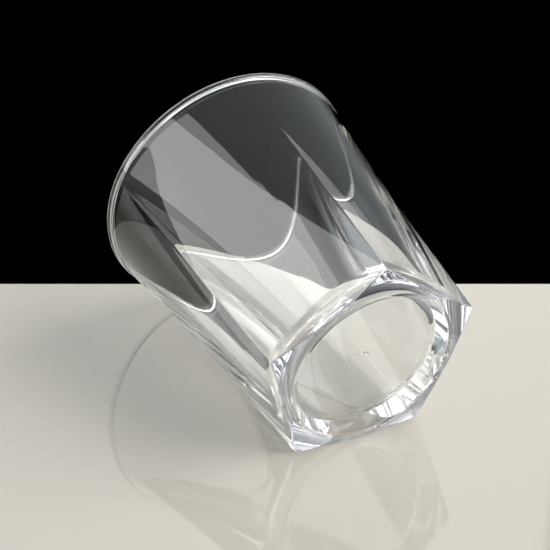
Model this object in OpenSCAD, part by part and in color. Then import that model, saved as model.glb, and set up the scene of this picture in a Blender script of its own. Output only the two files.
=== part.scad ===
/* [Overall] */
// Height from the table to the top of the drinking lip, mm
height = 86; // [78:1:96]
// Outer radius of the drinking lip, mm
rim_r = 39; // [37:0.5:42]
// Radius of the rounded bead at the drinking lip, mm
lip_r = 0.8; // [0.7:0.05:1.2]
// Thickness of the wall just under the lip, mm
lip_wall = 1.2; // [1:0.05:1.35]
// Height of the round band under the lip, mm
band_h = 2.2; // [1.5:0.1:6]

/* [Five-sided outside] */
// Distance from the axis to the middle of a flat face at table level, mm
face_reach = 26.5; // [26:0.1:27.5]
// Direction that the first flat face looks to, degrees
face_azimuth = 270; // [0:6:354]

/* [Round inside] */
// Thickness of the wall in the middle of a flat face, at the level of the floor, mm
face_wall = 2.6; // [2.2:0.1:3.6]
// Radius of the rounding between the floor and the wall inside, mm
core_round = 3; // [1.5:0.25:6]
// Thickness of the floor over the recess of the base, mm
floor_t = 1.5; // [1.2:0.1:2.5]

/* [Base] */
// How far the ring that the cup stands on lies inside the flat faces, mm
ring_inset = 1.8; // [1.2:0.1:2.4]
// Width of the flat of that ring, mm
ring_w = 1; // [0.6:0.1:1.4]
// Rise of the underside from the ring out to the corners, degrees
corner_rise = 11; // [6:0.5:18]
// How far the side of the recess leans in as it rises, mm
recess_taper = 1.5; // [0.8:0.1:2]
// Height of the recess's side, mm
recess_h = 4.2; // [3:0.1:5]
// Width of the recess's sloping border, mm
border_w = 1.7; // [1.2:0.1:2.4]
// Height that the sloping border adds, mm
border_h = 0.4; // [0.2:0.1:0.8]

/* [Gate mark] */
// Radius of the gate mark at the centre of the disc, mm
gate_r = 1.6; // [1:0.1:2.5]
// Height of the gate mark, mm
gate_h = 0.3; // [0.2:0.05:0.6]

/* [Hidden] */
smooth = 180;
faces = 5;
half_face = 180 / faces;

// steps of the loft across one face and up the wall
loft_across = 18;
loft_up = 8;
loft_round = faces * loft_across;

// the wall runs into the middle of the bead at the lip
lip_z = height - lip_r;
lip_mid_r = rim_r - lip_r;
wall_top_r = lip_mid_r + lip_wall / 2;
core_top_r = lip_mid_r - lip_wall / 2;
wall_lean = atan((wall_top_r - face_reach) / lip_z);
band_z = lip_z - band_h;
band_r = wall_top_r - band_h * tan(wall_lean);
// the band starts this much inside the loft's top edge, which has corners
band_step = 0.08;

// radii under the base, each inside the one before
ring_r = face_reach - ring_inset;
mouth_r = ring_r - ring_w;
recess_r = mouth_r - recess_taper;
disc_r = recess_r - border_w;

disc_z = recess_h + border_h;
floor_z = disc_z + floor_t;
core_r = face_reach + floor_z * tan(wall_lean) - face_wall;
core_lean = atan((core_top_r - core_r) / (lip_z - floor_z));
// centre of the rounding, which touches the floor and the leaning wall
round_r = core_r - core_round * (1 - sin(core_lean)) / cos(core_lean);
round_z = floor_z + core_round;

// a point of one face: across from -1 to 1 along the straight edge at the table and the arc at the band
function face_x(across, up) = (1 - up) * face_reach + up * band_r * cos(half_face * across);
function face_y(across, up) =
    (1 - up) * face_reach * tan(half_face) * across + up * band_r * sin(half_face * across);

// the same point turned to its face
function turned(x, y, angle) = [x * cos(angle) - y * sin(angle), x * sin(angle) + y * cos(angle)];

// column counts right round the cup, from one corner ridge to the next
function face_of(column) = floor(column / loft_across);
function across_of(column) = 2 * (column % loft_across) / loft_across - 1;
function wall_point(column, up) =
    let (flat = turned(
        face_x(across_of(column), up),
        face_y(across_of(column), up),
        face_azimuth + 2 * half_face * face_of(column)))
    [flat[0], flat[1], up * band_z];

// the outside: a loft of straight lines from a pentagon at the table to a circle at the band
module outer_loft() {
    points = [for (row = [0 : loft_up]) for (column = [0 : loft_round - 1]) wall_point(column, row / loft_up)];
    low_centre = len(points);
    high_centre = low_centre + 1;
    bottom = [for (column = [0 : loft_round - 1]) [low_centre, column, (column + 1) % loft_round]];
    top = [
        for (column = [0 : loft_round - 1])
            let (high = loft_up * loft_round)
            [high_centre, high + (column + 1) % loft_round, high + column]
    ];
    sides = [
        for (row = [0 : loft_up - 1])
            for (column = [0 : loft_round - 1])
                let (
                    next = (column + 1) % loft_round,
                    low = row * loft_round,
                    high = low + loft_round
                )
                for (corner = [[low + column, high + column, high + next], [low + column, high + next, low + next]])
                    corner
    ];
    polyhedron(points = concat(points, [[0, 0, 0], [0, 0, band_z]]), faces = concat(bottom, sides, top), convexity = 4);
}

// the underside rises from the ring to the corners like the chamfer of a turned nut
module corner_chamfer() {
    cylinder(r1 = ring_r, r2 = ring_r + height / tan(corner_rise), h = height, $fn = smooth);
}

// half section of the inside, from the floor to just past the top of the band
module core_section() {
    low = [round_r, floor_z];
    corner = [core_r, floor_z];
    high = [round_r + core_round * cos(core_lean), round_z - core_round * sin(core_lean)];
    past = [core_top_r + lip_r * tan(core_lean), lip_z + lip_r];
    polygon([[0, floor_z], low, high, past, [0, past[1]]]);
    intersection() {
        translate([round_r, round_z])
            circle(r = core_round, $fn = 2 * smooth);
        polygon([low, corner, high]);
    }
}

// half section of the recess under the base
module recess_section() {
    below = -1;
    polygon([[0, below], [mouth_r, below], [mouth_r, 0], [recess_r, recess_h], [disc_r, disc_z], [0, disc_z]]);
}

// the round band under the lip, before the inside is cut
module lip_band() {
    translate([0, 0, band_z])
        cylinder(r1 = band_r - band_step, r2 = wall_top_r, h = band_h, $fn = smooth);
}

module lip_bead() {
    rotate_extrude($fn = smooth)
        translate([lip_mid_r, lip_z])
            circle(r = lip_r, $fn = smooth);
}

module gate_mark() {
    translate([0, 0, disc_z - gate_h])
        cylinder(r1 = gate_r - gate_h, r2 = gate_r, h = gate_h + floor_t / 2, $fn = smooth);
}

module tumbler() {
    color([0.86, 0.9, 0.92, 0.4])
        union() {
            difference() {
                union() {
                    intersection() {
                        outer_loft();
                        corner_chamfer();
                    }
                    lip_band();
                }
                rotate_extrude($fn = smooth)
                    core_section();
                rotate_extrude($fn = smooth)
                    recess_section();
            }
            lip_bead();
            gate_mark();
        }
}

tumbler();
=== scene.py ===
"""Plastic tumbler cup: the clear one-piece cup that dresses its CAD solid, and the studio it lies in."""
import math

import bpy
from bpy.props import FloatProperty, FloatVectorProperty, PointerProperty
from bpy.types import Operator, Panel, PropertyGroup
from mathutils import Euler, Matrix, Vector


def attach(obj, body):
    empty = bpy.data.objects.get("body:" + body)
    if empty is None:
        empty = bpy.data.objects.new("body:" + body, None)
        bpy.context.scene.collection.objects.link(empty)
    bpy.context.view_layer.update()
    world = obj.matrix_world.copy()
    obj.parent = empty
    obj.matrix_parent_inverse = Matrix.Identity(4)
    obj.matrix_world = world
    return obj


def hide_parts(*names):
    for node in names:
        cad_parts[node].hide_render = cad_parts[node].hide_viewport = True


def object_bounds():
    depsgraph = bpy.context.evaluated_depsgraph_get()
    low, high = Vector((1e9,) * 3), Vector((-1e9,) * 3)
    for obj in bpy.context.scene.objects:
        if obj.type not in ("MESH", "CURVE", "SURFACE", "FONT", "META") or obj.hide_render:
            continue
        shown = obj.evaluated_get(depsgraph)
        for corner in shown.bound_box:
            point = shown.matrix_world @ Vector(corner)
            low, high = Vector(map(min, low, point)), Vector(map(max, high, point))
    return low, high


bl_info = {
    "name": "Plastic tumbler cup",
    "version": (1, 0, 0),
    "blender": (4, 5, 0),
    "location": "View3D > Sidebar > Tumbler",
    "description": "A clear one-piece tumbler, five-sided at the foot and round at the lip, and its studio",
    "category": "Add Mesh",
}

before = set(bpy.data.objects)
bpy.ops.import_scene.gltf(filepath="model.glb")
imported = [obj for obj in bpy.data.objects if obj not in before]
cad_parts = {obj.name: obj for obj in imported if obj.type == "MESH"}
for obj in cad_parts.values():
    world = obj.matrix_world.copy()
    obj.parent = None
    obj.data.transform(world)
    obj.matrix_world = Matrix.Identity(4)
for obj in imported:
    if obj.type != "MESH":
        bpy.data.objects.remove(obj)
CAD_LOW, CAD_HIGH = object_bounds()
LIP_RADIUS = (CAD_HIGH.x - CAD_LOW.x) / 2
HEIGHT = CAD_HIGH.z - CAD_LOW.z

FACES = 5
HALF_FACE = math.pi / FACES
# the cup lies on this face, counted round from the first, which is 0
LYING_FACE = 3

# columns of the mesh: fine ones on each side of a corner ridge, and even ones between them
RIDGE_COLUMNS = 3
FACE_COLUMNS = 43
# steps of rows: small rounding, foot's edge, wall, bead, inside, the inside's rounding, floor
ROUND_STEPS = 4
FOOT_STEPS = 4
WALL_STEPS = 40
BEAD_STEPS = 24
INSIDE_STEPS = 24
CORE_STEPS = 12
FLOOR_STEPS = 5
# the wall's rows lie closer together towards the foot by this power
WALL_CROWDING = 1.1
# a rounding has one more row on the flat at each side, this many times its own reach from the corner
RUN_OUT = 1.6
# reach of the first row round each middle
MIDDLE_REACH = 0.0004
# rows on the disc, and from the ring to the foot's edge, as shares of the way
DISC_SHARES = (0.35, 0.7)
UNDERSIDE_SHARES = (0.35, 0.7)

# small roundings that the moulding tool leaves under the base
GATE_ROUND = 0.00015
GATE_ROOT = 0.0001
DISC_ROUND = 0.0006
RECESS_ROUND = 0.0003
MOUTH_ROUND = 0.0002
RING_ROUND = 0.0008
# length of the underside's slope that still belongs to the ring's rounding
RING_END = 0.0006

# numbers that each point of the skin carries: those of its row, and those that its column has a part in
ROW_NUMBERS = ("reach", "level", "wall", "along", "back", "up", "blend")
COLUMN_NUMBERS = ("across", "pull", "turn", "azimuth")

# the picture's width and height in pixels, and the camera's sensor in millimetres
PICTURE = 550
SENSOR = 36.0
# gap between the cup and the table
TABLE_GAP = 0.0001

# lit sheets: corners in metres from the foot's edge that the cup lies on, to the right, away and up
RIGHT_SHEET = (
    ((2.558, -1.068, 0.195), (2.476, 1.231, 0.195), (1.077, 1.181, 2.265), (1.16, -1.118, 2.265)),
)
BACK_SHEET = (
    ((-1.09, 0.63, 0.28), (0.28, 1.1, 0.28), (0.28, 1.1, 1.05), (-1.09, 0.63, 1.1)),
)
# the bent sheet stands at the left, leans over from its shoulder and ends level above the cup
LEFT_SIDE = -0.9
LOW, SHOULDER, TOP = 0.075, 0.55, 0.75
# its far border, set by the edge that the cup mirrors: away and up at the left, right and away above
LEFT_BORDER = ((0.11, LOW), (0.09, 0.25), (0.075, 0.4), (0.085, SHOULDER))
TOP_BORDER = (
    (-0.41, 0.125), (-0.32, 0.13), (-0.24, 0.14), (-0.18, 0.15), (-0.14, 0.168), (-0.07, 0.19), (0.05, 0.26),
    (0.12, 0.3),
)
BENT_SHEET = (
    ((-0.35, -1.03, LOW), (LEFT_SIDE, -0.62, LOW), (LEFT_SIDE, -0.62, SHOULDER), (-0.35, -1.03, SHOULDER)),
    ((LEFT_SIDE, -0.62, LOW), *((LEFT_SIDE, away, up) for away, up in LEFT_BORDER),
     (LEFT_SIDE, -0.3, SHOULDER), (LEFT_SIDE, -0.62, SHOULDER)),
    ((LEFT_SIDE, -0.3, SHOULDER), (LEFT_SIDE, 0.085, SHOULDER), (-0.753, 0.125, 0.61), (-0.41, 0.125, TOP),
     (-0.41, -0.2, TOP)),
    ((-0.41, -0.2, TOP), *((right, away, TOP) for right, away in TOP_BORDER), (0.12, 0.05, TOP),
     (-0.2, -0.08, TOP)),
)
# share of its brightness that a lit sheet keeps where it is looked at straight through the plastic
SEEN_THROUGH = 0.12
# the room's light fades out between these heights of view, as parts of straight up
ROOM_FADE = (-0.3, 0.05)

# patches to a metre in the plastic's stress colours, ripples and wear, and in the smears on the table
STRESS_PATCHES = 45.0
RIPPLE_PATCHES = 160.0
WEAR_PATCHES = 700.0
SMEAR_PATCHES = 9.0
# heights between which the stress colours fade out, from under the disc to over the floor
STRESS_FADE = (0.004, 0.011)
# painted violet-grey shade lies from the ring outwards between these reaches, and fades out between these
# heights
PAINTED_SHADE_REACH = (0.0246, 0.026)
PAINTED_SHADE_FADE = (0.0014, 0.0022)


def to_linear(code):
    """A linear colour from an sRGB hex code."""
    parts = [int(code[i:i + 2], 16) / 255 for i in (1, 3, 5)]
    return [p / 12.92 if p <= 0.04045 else ((p + 0.055) / 1.055) ** 2.4 for p in parts]


class TumblerShape(PropertyGroup):
    """Sizes of the moulded cup."""

    height: FloatProperty(
        name="Height", description="From the table to the top of the lip", default=HEIGHT,
        subtype="DISTANCE")
    lip_radius: FloatProperty(
        name="Lip radius", description="Outer radius of the drinking lip", default=LIP_RADIUS,
        subtype="DISTANCE")
    bead: FloatProperty(
        name="Bead", description="Radius of the rounded bead at the lip", default=0.0008, subtype="DISTANCE")
    lip_wall: FloatProperty(
        name="Lip wall", description="Thickness of the wall just under the lip", default=0.0012,
        subtype="DISTANCE")
    band_height: FloatProperty(
        name="Band height", description="Height of the round band under the lip", default=0.0022,
        subtype="DISTANCE")
    face_reach: FloatProperty(
        name="Face reach", description="From the axis to the middle of a flat face at the table",
        default=0.0265, subtype="DISTANCE")
    face_azimuth: FloatProperty(
        name="Face azimuth", description="Direction that the first face looks to", default=math.radians(270),
        subtype="ANGLE")
    face_wall: FloatProperty(
        name="Face wall", description="Thickness of the wall in the middle of a face at the floor",
        default=0.0026, subtype="DISTANCE")
    core_round: FloatProperty(
        name="Core rounding", description="Rounding between floor and wall inside", default=0.003,
        subtype="DISTANCE")
    floor_thickness: FloatProperty(
        name="Floor", description="Thickness of the floor over the recess", default=0.0015,
        subtype="DISTANCE")
    ring_inset: FloatProperty(
        name="Ring inset", description="How far the standing ring lies inside the flat faces",
        default=0.0018, subtype="DISTANCE")
    ring_width: FloatProperty(
        name="Ring width", description="Width of the flat of the standing ring", default=0.001,
        subtype="DISTANCE")
    corner_rise: FloatProperty(
        name="Corner rise", description="Rise of the underside from the ring to the corners",
        default=math.radians(11), subtype="ANGLE")
    recess_taper: FloatProperty(
        name="Recess taper", description="How far the recess's side leans in as it rises", default=0.0015,
        subtype="DISTANCE")
    recess_height: FloatProperty(
        name="Recess height", description="Height of the recess's side", default=0.0042, subtype="DISTANCE")
    border_width: FloatProperty(
        name="Border width", description="Width of the recess's sloping border", default=0.0017,
        subtype="DISTANCE")
    border_height: FloatProperty(
        name="Border height", description="Height that the sloping border adds", default=0.0004,
        subtype="DISTANCE")
    gate_radius: FloatProperty(
        name="Gate radius", description="Radius of the gate mark", default=0.0016, subtype="DISTANCE")
    gate_height: FloatProperty(
        name="Gate height", description="Height of the gate mark", default=0.0003, subtype="DISTANCE")
    ridge_round: FloatProperty(
        name="Ridge rounding", description="Radius of the corner ridges at the table", default=0.0005,
        subtype="DISTANCE")
    foot_round: FloatProperty(
        name="Foot rounding", description="Length that the foot's edge is rounded over", default=0.0004,
        subtype="DISTANCE")


class TumblerLook(PropertyGroup):
    """Finish of the moulded polystyrene, and the shade painted over its foot."""

    tint: FloatVectorProperty(
        name="Tint", description="Colour of the clear plastic", default=to_linear("#FBFCFD"),
        subtype="COLOR", size=3, min=0, max=1)
    warm_tint: FloatVectorProperty(
        name="Warm stress tint", description="One end of the faint stress colours in the base",
        default=to_linear("#FDFAF9"), subtype="COLOR", size=3, min=0, max=1)
    cool_tint: FloatVectorProperty(
        name="Cool stress tint", description="Other end of the faint stress colours in the base",
        default=to_linear("#F8FDFB"), subtype="COLOR", size=3, min=0, max=1)
    # painted shade: the darker violet-grey painted over the foot's thick corners
    painted_corner_shade: FloatVectorProperty(
        name="Painted corner shade", description="Violet-grey shade painted over the thick corners of the foot",
        default=to_linear("#BFC2CF"), subtype="COLOR", size=3, min=0, max=1)
    flow_depth: FloatProperty(
        name="Flow depth", description="Depth of the faint flow ripples", default=0.000002, precision=7,
        subtype="DISTANCE")


class TumblerStage(PropertyGroup):
    """Camera, table and lights."""

    camera_place: FloatVectorProperty(
        name="Camera place", description="Where the camera stands", default=(0.00805, -0.4281, -0.32103),
        subtype="TRANSLATION", size=3)
    camera_turn: FloatVectorProperty(
        name="Camera turn", description="How the camera is turned",
        default=[math.radians(a) for a in (137.5258, 27.9453, 28.8925)], subtype="EULER", size=3)
    camera_lens: FloatProperty(name="Lens", description="Focal length in millimetres", default=130.594)
    far_edge: FloatProperty(
        name="Far edge", description="Row of the picture at which the table ends", default=284.0)
    table_colour: FloatVectorProperty(
        name="Table colour", description="Colour of the pale table", default=to_linear("#DBD5C9"),
        subtype="COLOR", size=3, min=0, max=1)
    table_size: FloatProperty(
        name="Table size", description="Width and depth of the table", default=1.6, subtype="DISTANCE")
    table_left: FloatProperty(
        name="Table left", description="How far the table reaches to the left of the picture's middle",
        default=0.42, subtype="DISTANCE")
    light_colour: FloatVectorProperty(
        name="Light colour", description="Colour of the lit sheets", default=to_linear("#FFFEFC"),
        subtype="COLOR", size=3, min=0, max=1)
    right_light: FloatProperty(
        name="Right sheet", description="Brightness of the lit sheet at the right", default=3.6)
    back_light: FloatProperty(
        name="Back sheet", description="Brightness of the lit sheet behind", default=2.0)
    bent_light: FloatProperty(
        name="Bent sheet", description="Brightness of the bent sheet at the left and above", default=3.1)
    room_light: FloatVectorProperty(
        name="Room", description="Dim light of the room above the table", default=to_linear("#A0A5A7"),
        subtype="COLOR", size=3, min=0, max=1)


def add_node(tree, kind, inputs=None, **settings):
    """Adds a node with its settings; an input takes a value, a socket or a node, whose output is linked."""
    node = tree.nodes.new(kind)
    for name, value in settings.items():
        setattr(node, name, value)
    for key, value in (inputs or {}).items():
        taker = node.inputs[key] if isinstance(key, int) else next(
            socket for socket in node.inputs if socket.name == key and socket.enabled)
        if isinstance(value, bpy.types.Node):
            value = next(socket for socket in value.outputs if socket.enabled)
        if isinstance(value, bpy.types.NodeSocket):
            tree.links.new(value, taker)
        else:
            taker.default_value = value
    return node


def round_corners(corners, steps):
    """Half-section points with each corner rounded; corners are (reach, level, radius), in order."""
    points = [Vector(corners[0][:2])]
    for before, corner, after in zip(corners, corners[1:], corners[2:]):
        here, radius = Vector(corner[:2]), corner[2]
        if not radius:
            points.append(here)
            continue
        back = (Vector(before[:2]) - here).normalized()
        ahead = (Vector(after[:2]) - here).normalized()
        half = back.angle(ahead) / 2
        cut = radius / math.tan(half)
        centre = here + (back + ahead).normalized() * (radius / math.sin(half))
        start = here + back * cut - centre
        sweep = (here + ahead * cut - centre).angle_signed(start)
        points.append(here + back * cut * RUN_OUT)
        for step in range(steps + 1):
            points.append(centre + Matrix.Rotation(sweep * step / steps, 2) @ start)
        points.append(here + ahead * cut * RUN_OUT)
    points.append(Vector(corners[-1][:2]))
    return points


def shape_sizes(shape):
    """Heights, radii and leans that follow from the cup's sizes."""
    lip_z = shape.height - shape.bead
    middle = shape.lip_radius - shape.bead
    wall_top = middle + shape.lip_wall / 2
    core_top = middle - shape.lip_wall / 2
    lean = math.atan((wall_top - shape.face_reach) / lip_z)
    disc_z = shape.recess_height + shape.border_height
    floor_z = disc_z + shape.floor_thickness
    ring = shape.face_reach - shape.ring_inset
    mouth = ring - shape.ring_width
    recess = mouth - shape.recess_taper
    core = shape.face_reach + floor_z * math.tan(lean) - shape.face_wall
    corner = shape.face_reach / math.cos(HALF_FACE)
    return {
        "ring": ring,
        "mouth": mouth,
        "recess": recess,
        "disc": recess - shape.border_width,
        "core": core,
        "corner": corner,
        "corner_z": (corner - ring) * math.tan(shape.corner_rise),
        "lip_z": lip_z,
        "middle": middle,
        "band_z": lip_z - shape.band_height,
        "band": wall_top - shape.band_height * math.tan(lean),
        "lean": lean,
        "disc_z": disc_z,
        "floor_z": floor_z,
        "core_lean": math.atan((core_top - core) / (lip_z - floor_z)),
    }


def bead_cut(lean, shape, side):
    """Angle on the bead at which the outer (side 1) or inner (side -1) skin runs into it."""
    tangent, half = math.tan(lean), shape.lip_wall / 2
    # the skin's line meets the bead's circle this far under the bead's middle: a quadratic equation
    square, linear = 1 + tangent * tangent, 2 * half * tangent * side
    constant = half * half - shape.bead * shape.bead
    drop = (linear + math.sqrt(linear * linear - 4 * square * constant)) / (2 * square)
    return math.atan2(-drop, side * (half - side * drop * tangent))


def underside_rows(shape, sizes):
    """Round rows from the gate mark out over the disc and the recess to the standing ring."""
    rise = Vector((math.cos(shape.corner_rise), math.sin(shape.corner_rise)))
    ring_end = Vector((sizes["ring"], 0)) + rise * RING_END
    gate_z = sizes["disc_z"] - shape.gate_height
    points = round_corners([
        (MIDDLE_REACH, gate_z, 0),
        (shape.gate_radius - shape.gate_height, gate_z, GATE_ROUND),
        (shape.gate_radius, sizes["disc_z"], GATE_ROOT),
        *((sizes["disc"] * share, sizes["disc_z"], 0) for share in DISC_SHARES),
        (sizes["disc"], sizes["disc_z"], DISC_ROUND),
        (sizes["recess"], shape.recess_height, RECESS_ROUND),
        (sizes["mouth"], 0, MOUTH_ROUND),
        (sizes["ring"], 0, RING_ROUND),
        (ring_end.x, ring_end.y, 0),
    ], ROUND_STEPS)
    return [{"reach": point.x, "level": point.y, "foot": 1.0} for point in points]


def wall_rows(shape, sizes):
    """Rows from the ring to the foot's edge, which is rounded, and up the wall to the band."""
    share = shape.foot_round / sizes["band_z"]
    rows = [{"wall": 1.0, "along": along} for along in UNDERSIDE_SHARES]
    rows.append({"wall": 1.0, "along": 1.0, "back": shape.foot_round * RUN_OUT})
    for step in range(FOOT_STEPS + 1):
        part = step / FOOT_STEPS
        back = shape.foot_round * (1 - part)
        rows.append({"wall": 1.0, "along": 1.0, "back": back, "up": share * part, "blend": part})
    rows.append({"wall": 1.0, "up": share * RUN_OUT, "blend": 1.0})
    for step in range(1, WALL_STEPS + 1):
        rows.append({"wall": 1.0, "up": (step / WALL_STEPS) ** WALL_CROWDING, "blend": 1.0})
    return rows


def inside_rows(shape, sizes):
    """Round rows over the bead, down the inside and along the floor to its middle."""
    outer = bead_cut(sizes["lean"], shape, 1)
    inner = bead_cut(sizes["core_lean"], shape, -1) % (2 * math.pi)
    middle = Vector((sizes["middle"], sizes["lip_z"]))
    turns = [outer + (inner - outer) * step / BEAD_STEPS for step in range(BEAD_STEPS + 1)]
    over = [middle + shape.bead * Vector((math.cos(turn), math.sin(turn))) for turn in turns]
    inside = round_corners([
        (*over[-1], 0),
        (sizes["core"], sizes["floor_z"], shape.core_round),
        (MIDDLE_REACH, sizes["floor_z"], 0),
    ], CORE_STEPS)
    climb = [inside[0].lerp(inside[1], step / INSIDE_STEPS) for step in range(1, INSIDE_STEPS)]
    floor = [inside[-2].lerp(inside[-1], step / FLOOR_STEPS) for step in range(1, FLOOR_STEPS)]
    points = over + climb + inside[1:-1] + floor + inside[-1:]
    return [{"reach": point.x, "level": point.y} for point in points]


def face_columns(shape):
    """Places across one face, up to just before the next, and how far the ridge's rounding pulls each in."""
    half_side = shape.face_reach * math.tan(HALF_FACE)
    cut = shape.ridge_round * math.tan(HALF_FACE)
    fine = []
    for step in range(RIDGE_COLUMNS + 1):
        turn = HALF_FACE * step / RIDGE_COLUMNS
        pull = shape.ridge_round * (1 - math.cos(turn)) / math.cos(HALF_FACE)
        inset = cut - shape.ridge_round * math.sin(turn) - pull * math.sin(HALF_FACE)
        fine.append((1 - inset / half_side, pull))
    edge = fine[0][0]
    even = [(edge * (2 * step / (FACE_COLUMNS - 1) - 1), 0.0) for step in range(1, FACE_COLUMNS - 1)]
    rising = [(-across, pull) for across, pull in reversed(fine)]
    return rising + even + fine[:-1]


def make_skin(shape):
    """The cup's skin as a closed sheet, not yet lofted: its points carry the numbers that place them."""
    sizes = shape_sizes(shape)
    rows = underside_rows(shape, sizes) + wall_rows(shape, sizes) + inside_rows(shape, sizes)
    spots = [(face, across, pull) for face in range(FACES) for across, pull in face_columns(shape)]
    count = len(spots)
    numbers = {name: [] for name in ROW_NUMBERS + COLUMN_NUMBERS}
    for row in rows:
        for face, across, pull in spots:
            turn = shape.face_azimuth + 2 * HALF_FACE * face
            # up to the wall the columns follow the pentagon's side, and over the bead the circle
            on_foot = row.get("wall") or row.get("foot")
            swing = math.atan(math.tan(HALF_FACE) * across) if on_foot else HALF_FACE * across
            for name in ROW_NUMBERS:
                numbers[name].append(row.get(name, 0.0))
            for name, value in zip(COLUMN_NUMBERS, (across, pull, turn, turn + swing)):
                numbers[name].append(value)
    # the two middles, below and above
    for row in (rows[0], rows[-1]):
        for name in numbers:
            numbers[name].append(row["level"] if name == "level" else 0.0)
    last = (len(rows) - 1) * count
    below, above = last + count, last + count + 1
    faces = []
    for low in range(0, last, count):
        for here in range(count):
            beside = (here + 1) % count
            faces.append((low + here, low + beside, low + count + beside, low + count + here))
    faces += [(below, (here + 1) % count, here) for here in range(count)]
    faces += [(above, last + here, last + (here + 1) % count) for here in range(count)]
    mesh = bpy.data.meshes.new("tumbler_skin")
    mesh.from_pydata([(0, 0, 0)] * (above + 1), [], faces)
    for name, values in numbers.items():
        mesh.attributes.new(name, "FLOAT", "POINT").data.foreach_set("value", values)
    mesh.update()
    return mesh


def loft_tree(defaults):
    """Geometry nodes that place the skin's points: round rows by reach and level, wall rows by the loft."""
    tree = bpy.data.node_groups.new("Five-sided loft", "GeometryNodeTree")
    tree.interface.new_socket(name="Skin", in_out="INPUT", socket_type="NodeSocketGeometry")
    for name, value in defaults.items():
        socket = tree.interface.new_socket(name=name, in_out="INPUT", socket_type="NodeSocketFloat")
        socket.default_value = value
    tree.interface.new_socket(name="Finish", in_out="INPUT", socket_type="NodeSocketMaterial")
    tree.interface.new_socket(name="Tumbler", in_out="OUTPUT", socket_type="NodeSocketGeometry")
    given = tree.nodes.new("NodeGroupInput").outputs
    number = {
        name: add_node(tree, "GeometryNodeInputNamedAttribute", {"Name": name}, data_type="FLOAT")
        for name in ROW_NUMBERS + COLUMN_NUMBERS}

    # the pentagon's side at the table, and the circle's arc at the band, for a face that looks along x
    slant = add_node(tree, "ShaderNodeMath", {0: given["Half face"]}, operation="TANGENT")
    aside = add_node(tree, "ShaderNodeMath", {0: slant, 1: number["across"]}, operation="MULTIPLY")
    side_y = add_node(tree, "ShaderNodeMath", {0: given["Face reach"], 1: aside}, operation="MULTIPLY")
    side = add_node(tree, "ShaderNodeCombineXYZ", {"X": given["Face reach"], "Y": side_y})
    swing = add_node(tree, "ShaderNodeMath", {0: given["Half face"], 1: number["across"]},
                     operation="MULTIPLY")
    band = add_node(tree, "ShaderNodeCombineXYZ", {"X": given["Band radius"], "Z": given["Band height"]})
    arc = add_node(tree, "ShaderNodeVectorRotate", {"Vector": band, "Angle": swing}, rotation_type="Z_AXIS")

    def wall_point(up):
        # straight lines from the side to the arc; the ridge's rounding pulls them in and fades upwards
        line = add_node(tree, "ShaderNodeMix", {"Factor": up, "A": side, "B": arc}, data_type="VECTOR")
        level_part = add_node(tree, "ShaderNodeVectorMath", {0: line, 1: (1, 1, 0)}, operation="MULTIPLY")
        outwards = add_node(tree, "ShaderNodeVectorMath", {0: level_part}, operation="NORMALIZE")
        down = add_node(tree, "ShaderNodeMath", {0: 1.0, 1: up}, operation="SUBTRACT")
        pull = add_node(tree, "ShaderNodeMath", {0: number["pull"], 1: down}, operation="MULTIPLY")
        pulled = add_node(tree, "ShaderNodeVectorMath", {0: outwards, "Scale": pull}, operation="SCALE")
        point = add_node(tree, "ShaderNodeVectorMath", {0: line, 1: pulled}, operation="SUBTRACT")
        return add_node(tree, "ShaderNodeVectorRotate", {"Vector": point, "Angle": number["turn"]},
                        rotation_type="Z_AXIS")

    def round_point(reach, level):
        point = add_node(tree, "ShaderNodeCombineXYZ", {"X": reach, "Z": level})
        return add_node(tree, "ShaderNodeVectorRotate", {"Vector": point, "Angle": number["azimuth"]},
                        rotation_type="Z_AXIS")

    # height at which the underside, rising from the ring, meets the wall, which widens as it goes up
    side_reach = add_node(tree, "ShaderNodeVectorMath", {0: side}, operation="LENGTH")
    wider = add_node(tree, "ShaderNodeMath", {0: given["Band radius"], 1: side_reach}, operation="SUBTRACT")
    widening = add_node(tree, "ShaderNodeMath", {0: wider, 1: given["Band height"]}, operation="DIVIDE")
    slope = add_node(tree, "ShaderNodeMath", {0: given["Corner rise"]}, operation="TANGENT")
    past_ring = add_node(tree, "ShaderNodeMath", {0: side_reach, 1: given["Ring radius"]},
                         operation="SUBTRACT")
    climb = add_node(tree, "ShaderNodeMath", {0: past_ring, 1: slope}, operation="MULTIPLY")
    gained = add_node(tree, "ShaderNodeMath", {0: slope, 1: widening}, operation="MULTIPLY")
    rest = add_node(tree, "ShaderNodeMath", {0: 1.0, 1: gained}, operation="SUBTRACT")
    foot_level = add_node(tree, "ShaderNodeMath", {0: climb, 1: rest}, operation="DIVIDE")
    foot_up = add_node(tree, "ShaderNodeMath", {0: foot_level, 1: given["Band height"]}, operation="DIVIDE")
    edge = wall_point(foot_up)

    # the underside runs out from the ring's rounding to that edge
    rise_x = add_node(tree, "ShaderNodeMath", {0: given["Corner rise"]}, operation="COSINE")
    rise_z = add_node(tree, "ShaderNodeMath", {0: given["Corner rise"]}, operation="SINE")
    out = round_point(rise_x, rise_z)
    ring = round_point(given["Ring radius"], 0.0)
    rounded = add_node(tree, "ShaderNodeVectorMath", {0: out, "Scale": given["Ring end"]}, operation="SCALE")
    ring_end = add_node(tree, "ShaderNodeVectorMath", {0: ring, 1: rounded}, operation="ADD")
    outer = add_node(tree, "ShaderNodeMix", {"Factor": number["along"], "A": ring_end, "B": edge},
                     data_type="VECTOR")
    back = add_node(tree, "ShaderNodeVectorMath", {0: out, "Scale": number["back"]}, operation="SCALE")
    under = add_node(tree, "ShaderNodeVectorMath", {0: outer, 1: back}, operation="SUBTRACT")

    # the wall's rows share out the height from the edge to the band, and the edge is a blend of both
    wall_up = add_node(tree, "ShaderNodeMix", {"Factor": number["up"], "A": foot_up, "B": 1.0},
                       data_type="FLOAT")
    wall = add_node(tree, "ShaderNodeMix", {"Factor": number["blend"], "A": under, "B": wall_point(wall_up)},
                    data_type="VECTOR")
    turned = round_point(number["reach"], number["level"])
    place = add_node(tree, "ShaderNodeMix", {"Factor": number["wall"], "A": turned, "B": wall},
                     data_type="VECTOR")

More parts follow.
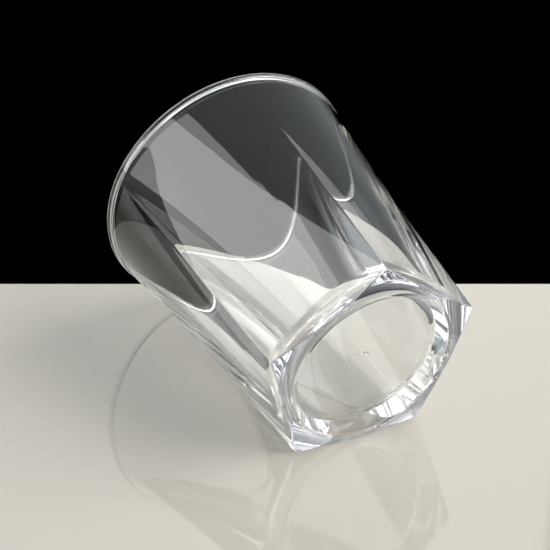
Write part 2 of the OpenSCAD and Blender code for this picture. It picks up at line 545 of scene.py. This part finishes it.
    moved = add_node(tree, "GeometryNodeSetPosition", {"Geometry": given["Skin"], "Position": place})
    smooth = add_node(tree, "GeometryNodeSetShadeSmooth", {"Geometry": moved, "Shade Smooth": True})
    real = add_node(tree, "GeometryNodeRealizeInstances", {"Geometry": smooth})
    dressed = add_node(tree, "GeometryNodeSetMaterial", {"Geometry": real, "Material": given["Finish"]})
    add_node(tree, "NodeGroupOutput", {"Tumbler": dressed})
    return tree


def start_material(name):
    """A material with an empty tree."""
    material = bpy.data.materials.new(name)
    material.use_nodes = True
    material.node_tree.nodes.clear()
    return material, material.node_tree


def polystyrene(look):
    """Clear polystyrene, injection moulded against polished steel."""
    material, tree = start_material("Clear polystyrene")
    place = tree.nodes.new("ShaderNodeTexCoord").outputs["Object"]
    # moulded in one shot from the gate under the base: clear and hard, mirror-bright, with the faintest
    # flow ripples round the gate and stress colours in the base
    cloud = add_node(tree, "ShaderNodeTexNoise", {
        "Vector": place, "Scale": STRESS_PATCHES, "Detail": 2.0, "Distortion": 1.5})
    stress = add_node(tree, "ShaderNodeMix", {
        "Factor": cloud, "A": (*look.cool_tint, 1), "B": (*look.warm_tint, 1)}, data_type="RGBA")
    height = add_node(tree, "ShaderNodeSeparateXYZ", {"Vector": place}).outputs["Z"]
    low = add_node(tree, "ShaderNodeMapRange", {
        "Value": height, "From Min": STRESS_FADE[0], "From Max": STRESS_FADE[1], "To Min": 1.0,
        "To Max": 0.0})
    tint = add_node(tree, "ShaderNodeMix", {
        "Factor": low, "A": (*look.tint, 1), "B": stress}, data_type="RGBA")
    # painted shade: a darker violet-grey is painted over the foot's thick corners, from the ring outwards
    # and low down
    level_part = add_node(tree, "ShaderNodeVectorMath", {0: place, 1: (1, 1, 0)}, operation="MULTIPLY")
    reach = add_node(tree, "ShaderNodeVectorMath", {0: level_part}, operation="LENGTH")
    painted_shade_outward = add_node(tree, "ShaderNodeMapRange", {
        "Value": reach, "From Min": PAINTED_SHADE_REACH[0], "From Max": PAINTED_SHADE_REACH[1]})
    foot = add_node(tree, "ShaderNodeMapRange", {
        "Value": height, "From Min": PAINTED_SHADE_FADE[0], "From Max": PAINTED_SHADE_FADE[1], "To Min": 1.0, "To Max": 0.0})
    corner = add_node(tree, "ShaderNodeMath", {0: painted_shade_outward, 1: foot}, operation="MULTIPLY")
    tint_with_painted_shade = add_node(tree, "ShaderNodeMix", {
        "Factor": corner, "A": tint, "B": (*look.painted_corner_shade, 1)}, data_type="RGBA")
    # ripples about 6 mm apart, drawn a little deeper than the real ones
    ripple = add_node(tree, "ShaderNodeTexNoise", {"Vector": place, "Scale": RIPPLE_PATCHES, "Detail": 1.0})
    bump = add_node(tree, "ShaderNodeBump", {"Strength": 1.0, "Distance": look.flow_depth, "Height": ripple})
    # fine wear marks dull the gloss in small patches
    wear = add_node(tree, "ShaderNodeTexNoise", {"Vector": place, "Scale": WEAR_PATCHES, "Detail": 3.0})
    rough = add_node(tree, "ShaderNodeMapRange", {
        "Value": wear, "From Min": 0.55, "From Max": 0.8, "To Min": 0.0, "To Max": 0.02})
    shader = add_node(tree, "ShaderNodeBsdfPrincipled", {
        "Base Color": tint_with_painted_shade, "Roughness": rough, "IOR": 1.59, "Transmission Weight": 1.0, "Normal": bump})
    add_node(tree, "ShaderNodeOutputMaterial", {"Surface": shader})
    return material


def table_acrylic(stage):
    """Pale acrylic sheet, cast against glass."""
    material, tree = start_material("Pale acrylic sheet")
    place = tree.nodes.new("ShaderNodeTexCoord").outputs["Object"]
    # coloured all through and glossy, so that the cup's soft mirror image lies over an even pale colour;
    # hand-wide smears change the gloss a little
    smear = add_node(tree, "ShaderNodeTexNoise", {"Vector": place, "Scale": SMEAR_PATCHES, "Detail": 3.0})
    rough = add_node(tree, "ShaderNodeMapRange", {
        "Value": smear, "From Min": 0.3, "From Max": 0.7, "To Min": 0.03, "To Max": 0.05})
    shader = add_node(tree, "ShaderNodeBsdfPrincipled", {
        "Base Color": (*stage.table_colour, 1), "Roughness": rough, "IOR": 1.49})
    # seen from behind the sheet lets the eye through, so that it never hides the cup
    clear = tree.nodes.new("ShaderNodeBsdfTransparent")
    behind = tree.nodes.new("ShaderNodeNewGeometry").outputs["Backfacing"]
    path = tree.nodes.new("ShaderNodeLightPath").outputs
    eye = add_node(tree, "ShaderNodeMath", {0: path["Is Camera Ray"], 1: path["Is Transmission Ray"]},
                   operation="MAXIMUM")
    share = add_node(tree, "ShaderNodeMath", {0: behind, 1: eye}, operation="MULTIPLY")
    both = add_node(tree, "ShaderNodeMixShader", {0: share, 1: shader, 2: clear})
    add_node(tree, "ShaderNodeOutputMaterial", {"Surface": both})
    return material


def lit_diffuser(name, colour, brightness):
    """White diffusing fabric, woven and lit from behind: even all over."""
    material, tree = start_material("Lit diffuser of " + name)
    # looked at straight through the plastic it is about as dim as the room, so that it never hides the cup
    path = tree.nodes.new("ShaderNodeLightPath").outputs
    bounces = add_node(tree, "ShaderNodeMath", {0: path["Glossy Depth"], 1: path["Diffuse Depth"]},
                       operation="ADD", use_clamp=True)
    straight = add_node(tree, "ShaderNodeMath", {0: path["Is Transmission Ray"], 1: bounces},
                        operation="SUBTRACT", use_clamp=True)
    strength = add_node(tree, "ShaderNodeMapRange", {
        "Value": straight, "To Min": brightness, "To Max": brightness * SEEN_THROUGH})
    glow = add_node(tree, "ShaderNodeEmission", {"Color": (*colour, 1), "Strength": strength})
    add_node(tree, "ShaderNodeOutputMaterial", {"Surface": glow})
    return material


def table_frame(shape):
    """A point of the table and the way up from it: the cup lies on the edges of its foot and of its lip."""
    sizes = shape_sizes(shape)
    lying = shape.face_azimuth + 2 * HALF_FACE * LYING_FACE
    ends = []
    for side in (-1, 1):
        turn, reach = lying + side * HALF_FACE, sizes["corner"]
        ends.append(Vector((reach * math.cos(turn), reach * math.sin(turn), sizes["corner_z"])))
    lip = Vector((shape.lip_radius * math.cos(lying), shape.lip_radius * math.sin(lying), sizes["lip_z"]))
    up = (ends[1] - ends[0]).cross(lip - ends[0]).normalized()
    if up.dot(Vector((math.cos(lying), math.sin(lying), 0))) > 0:
        up = -up
    return (ends[0] + ends[1]) / 2 - up * TABLE_GAP, up


def link_object(scene, name, data):
    """Puts new data into the scene as an object."""
    item = bpy.data.objects.new(name, data)
    scene.collection.objects.link(item)
    return item


def make_camera(scene, stage):
    """The camera at the photograph's place."""
    data = bpy.data.cameras.new("camera")
    data.sensor_width = SENSOR
    data.lens = stage.camera_lens
    data.clip_start, data.clip_end = 0.01, 20
    scene.camera = link_object(scene, "camera", data)
    scene.camera.location = stage.camera_place
    scene.camera.rotation_euler = stage.camera_turn


def make_table(scene, stage, origin, up):
    """The pale table: its far edge runs level through the picture."""
    turn, place = Euler(stage.camera_turn).to_matrix(), Vector(stage.camera_place)
    # two rays through the row of the far edge, brought down to the table
    ends = []
    for column in (-0.5, 0.5):
        ray = turn @ Vector((column * SENSOR, (0.5 - stage.far_edge / PICTURE) * SENSOR, -stage.camera_lens))
        ends.append(place + ray * ((origin - place).dot(up) / ray.dot(up)))
    edge = (ends[1] - ends[0]).normalized()
    far = (ends[0] + ends[1]) / 2
    near = far - up.cross(edge) * stage.table_size
    left, right = edge * stage.table_left, edge * (stage.table_size - stage.table_left)
    mesh = bpy.data.meshes.new("table")
    mesh.from_pydata([near - left, near + right, far + right, far - left], [], [(0, 1, 2, 3)])
    mesh.materials.append(table_acrylic(stage))
    if mesh.polygons[0].normal.dot(up) < 0:
        raise RuntimeError("the table faces down")
    link_object(scene, "table", mesh)


def make_lit_sheet(scene, name, panels, brightness):
    """A sheet of lit fabric, which the camera doesn't see, from the corners of its flat panels."""
    stage = scene.tumbler_stage
    origin, up = table_frame(scene.tumbler_shape)
    # the picture's right, level with the table
    right = Euler(stage.camera_turn).to_matrix() @ Vector((1, 0, 0))
    right = (right - up * right.dot(up)).normalized()
    away = up.cross(right)
    points, sides = [], []
    for panel in panels:
        sides.append(range(len(points), len(points) + len(panel)))
        points += [origin + right * x + away * y + up * z for x, y, z in panel]
    mesh = bpy.data.meshes.new(name)
    mesh.from_pydata(points, [], sides)
    mesh.materials.append(lit_diffuser(name, stage.light_colour, brightness))
    sheet = link_object(scene, name, mesh)
    sheet.visible_camera = False
    return sheet


def make_room(scene, stage, up):
    """The room's dim light above the table's level, and black below it, past the table's far edge."""
    world = bpy.data.worlds.new("studio_room")
    world.use_nodes = True
    tree = world.node_tree
    tree.nodes.clear()
    view = tree.nodes.new("ShaderNodeTexCoord").outputs["Generated"]
    height = add_node(tree, "ShaderNodeVectorMath", {0: view, 1: up}, operation="DOT_PRODUCT")
    above = add_node(tree, "ShaderNodeMapRange", {
        "Value": height, "From Min": ROOM_FADE[0], "From Max": ROOM_FADE[1]},
        interpolation_type="SMOOTHSTEP")
    room = add_node(tree, "ShaderNodeMix", {
        "Factor": above, "A": (0, 0, 0, 1), "B": (*stage.room_light, 1)}, data_type="RGBA")
    shader = add_node(tree, "ShaderNodeBackground", {"Color": room})
    add_node(tree, "ShaderNodeOutputWorld", {"Surface": shader})
    scene.world = world


class TUMBLER_OT_cup(Operator):
    """Makes the cup: one moulded piece, five-sided at the foot, round at the lip and round inside"""

    bl_idname = "tumbler.cup"
    bl_label = "Cup"

    def execute(self, context):
        shape = context.scene.tumbler_shape
        sizes = shape_sizes(shape)
        skin = link_object(context.scene, "tumbler_skin", make_skin(shape))
        inputs = {
            "Face reach": shape.face_reach,
            "Band radius": sizes["band"],
            "Band height": sizes["band_z"],
            "Ring radius": sizes["ring"],
            "Ring end": RING_END,
            "Corner rise": shape.corner_rise,
            "Half face": HALF_FACE,
        }
        loft = skin.modifiers.new("Five-sided loft", "NODES")
        loft.node_group = loft_tree(inputs)
        inputs["Finish"] = polystyrene(context.scene.tumbler_look)
        for item in loft.node_group.interface.items_tree:
            if item.in_out == "INPUT" and item.name in inputs:
                loft[item.identifier] = inputs[item.name]
        lofted = skin.evaluated_get(context.evaluated_depsgraph_get())
        mesh = bpy.data.meshes.new_from_object(lofted)
        if len(mesh.polygons) != len(skin.data.polygons):
            raise RuntimeError("the cup's loft lost its faces")
        bpy.data.objects.remove(skin)
        for name in ROW_NUMBERS + COLUMN_NUMBERS:
            mesh.attributes.remove(mesh.attributes[name])
        mesh.name = "tumbler_cup"
        cup = link_object(context.scene, "tumbler_cup", mesh)
        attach(cup, "root")
        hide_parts("tumbler")
        return {"FINISHED"}


class TUMBLER_OT_stage(Operator):
    """Makes the camera, the pale table with its dark room, and the lit sheets"""

    bl_idname = "tumbler.stage"
    bl_label = "Stage"

    def execute(self, context):
        scene, stage = context.scene, context.scene.tumbler_stage
        origin, up = table_frame(scene.tumbler_shape)
        make_camera(scene, stage)
        make_table(scene, stage, origin, up)
        make_lit_sheet(scene, "right_sheet", RIGHT_SHEET, stage.right_light)
        # the other two are only mirrored, by the cup and the glossy table, and don't light its pale colour
        make_lit_sheet(scene, "back_sheet", BACK_SHEET, stage.back_light).visible_diffuse = False
        make_lit_sheet(scene, "bent_sheet", BENT_SHEET, stage.bent_light).visible_diffuse = False
        make_room(scene, stage, up)
        # light runs up the thick corners by total reflection many times before it leaves the plastic
        scene.cycles.max_bounces = 48
        scene.cycles.glossy_bounces = 40
        scene.cycles.transmission_bounces = 40
        scene.view_settings.view_transform = "Standard"
        return {"FINISHED"}


class TUMBLER_PT_panel(Panel):
    """Lists the steps and the sizes"""

    bl_label = "Tumbler"
    bl_idname = "TUMBLER_PT_panel"
    bl_space_type = "VIEW_3D"
    bl_region_type = "UI"
    bl_category = "Tumbler"

    def draw(self, context):
        layout = self.layout
        layout.operator("tumbler.cup")
        layout.operator("tumbler.stage")
        for group in (context.scene.tumbler_shape, context.scene.tumbler_look, context.scene.tumbler_stage):
            box = layout.box()
            for name in group.__annotations__:
                box.prop(group, name)


CLASSES = (
    TumblerShape,
    TumblerLook,
    TumblerStage,
    TUMBLER_OT_cup,
    TUMBLER_OT_stage,
    TUMBLER_PT_panel,
)


def register():
    for item in CLASSES:
        bpy.utils.register_class(item)
    bpy.types.Scene.tumbler_shape = PointerProperty(type=TumblerShape)
    bpy.types.Scene.tumbler_look = PointerProperty(type=TumblerLook)
    bpy.types.Scene.tumbler_stage = PointerProperty(type=TumblerStage)


def unregister():
    del bpy.types.Scene.tumbler_stage
    del bpy.types.Scene.tumbler_look
    del bpy.types.Scene.tumbler_shape
    for item in reversed(CLASSES):
        bpy.utils.unregister_class(item)


def main():
    register()
    bpy.ops.tumbler.cup()
    bpy.ops.tumbler.stage()


if __name__ == "__main__":
    main()
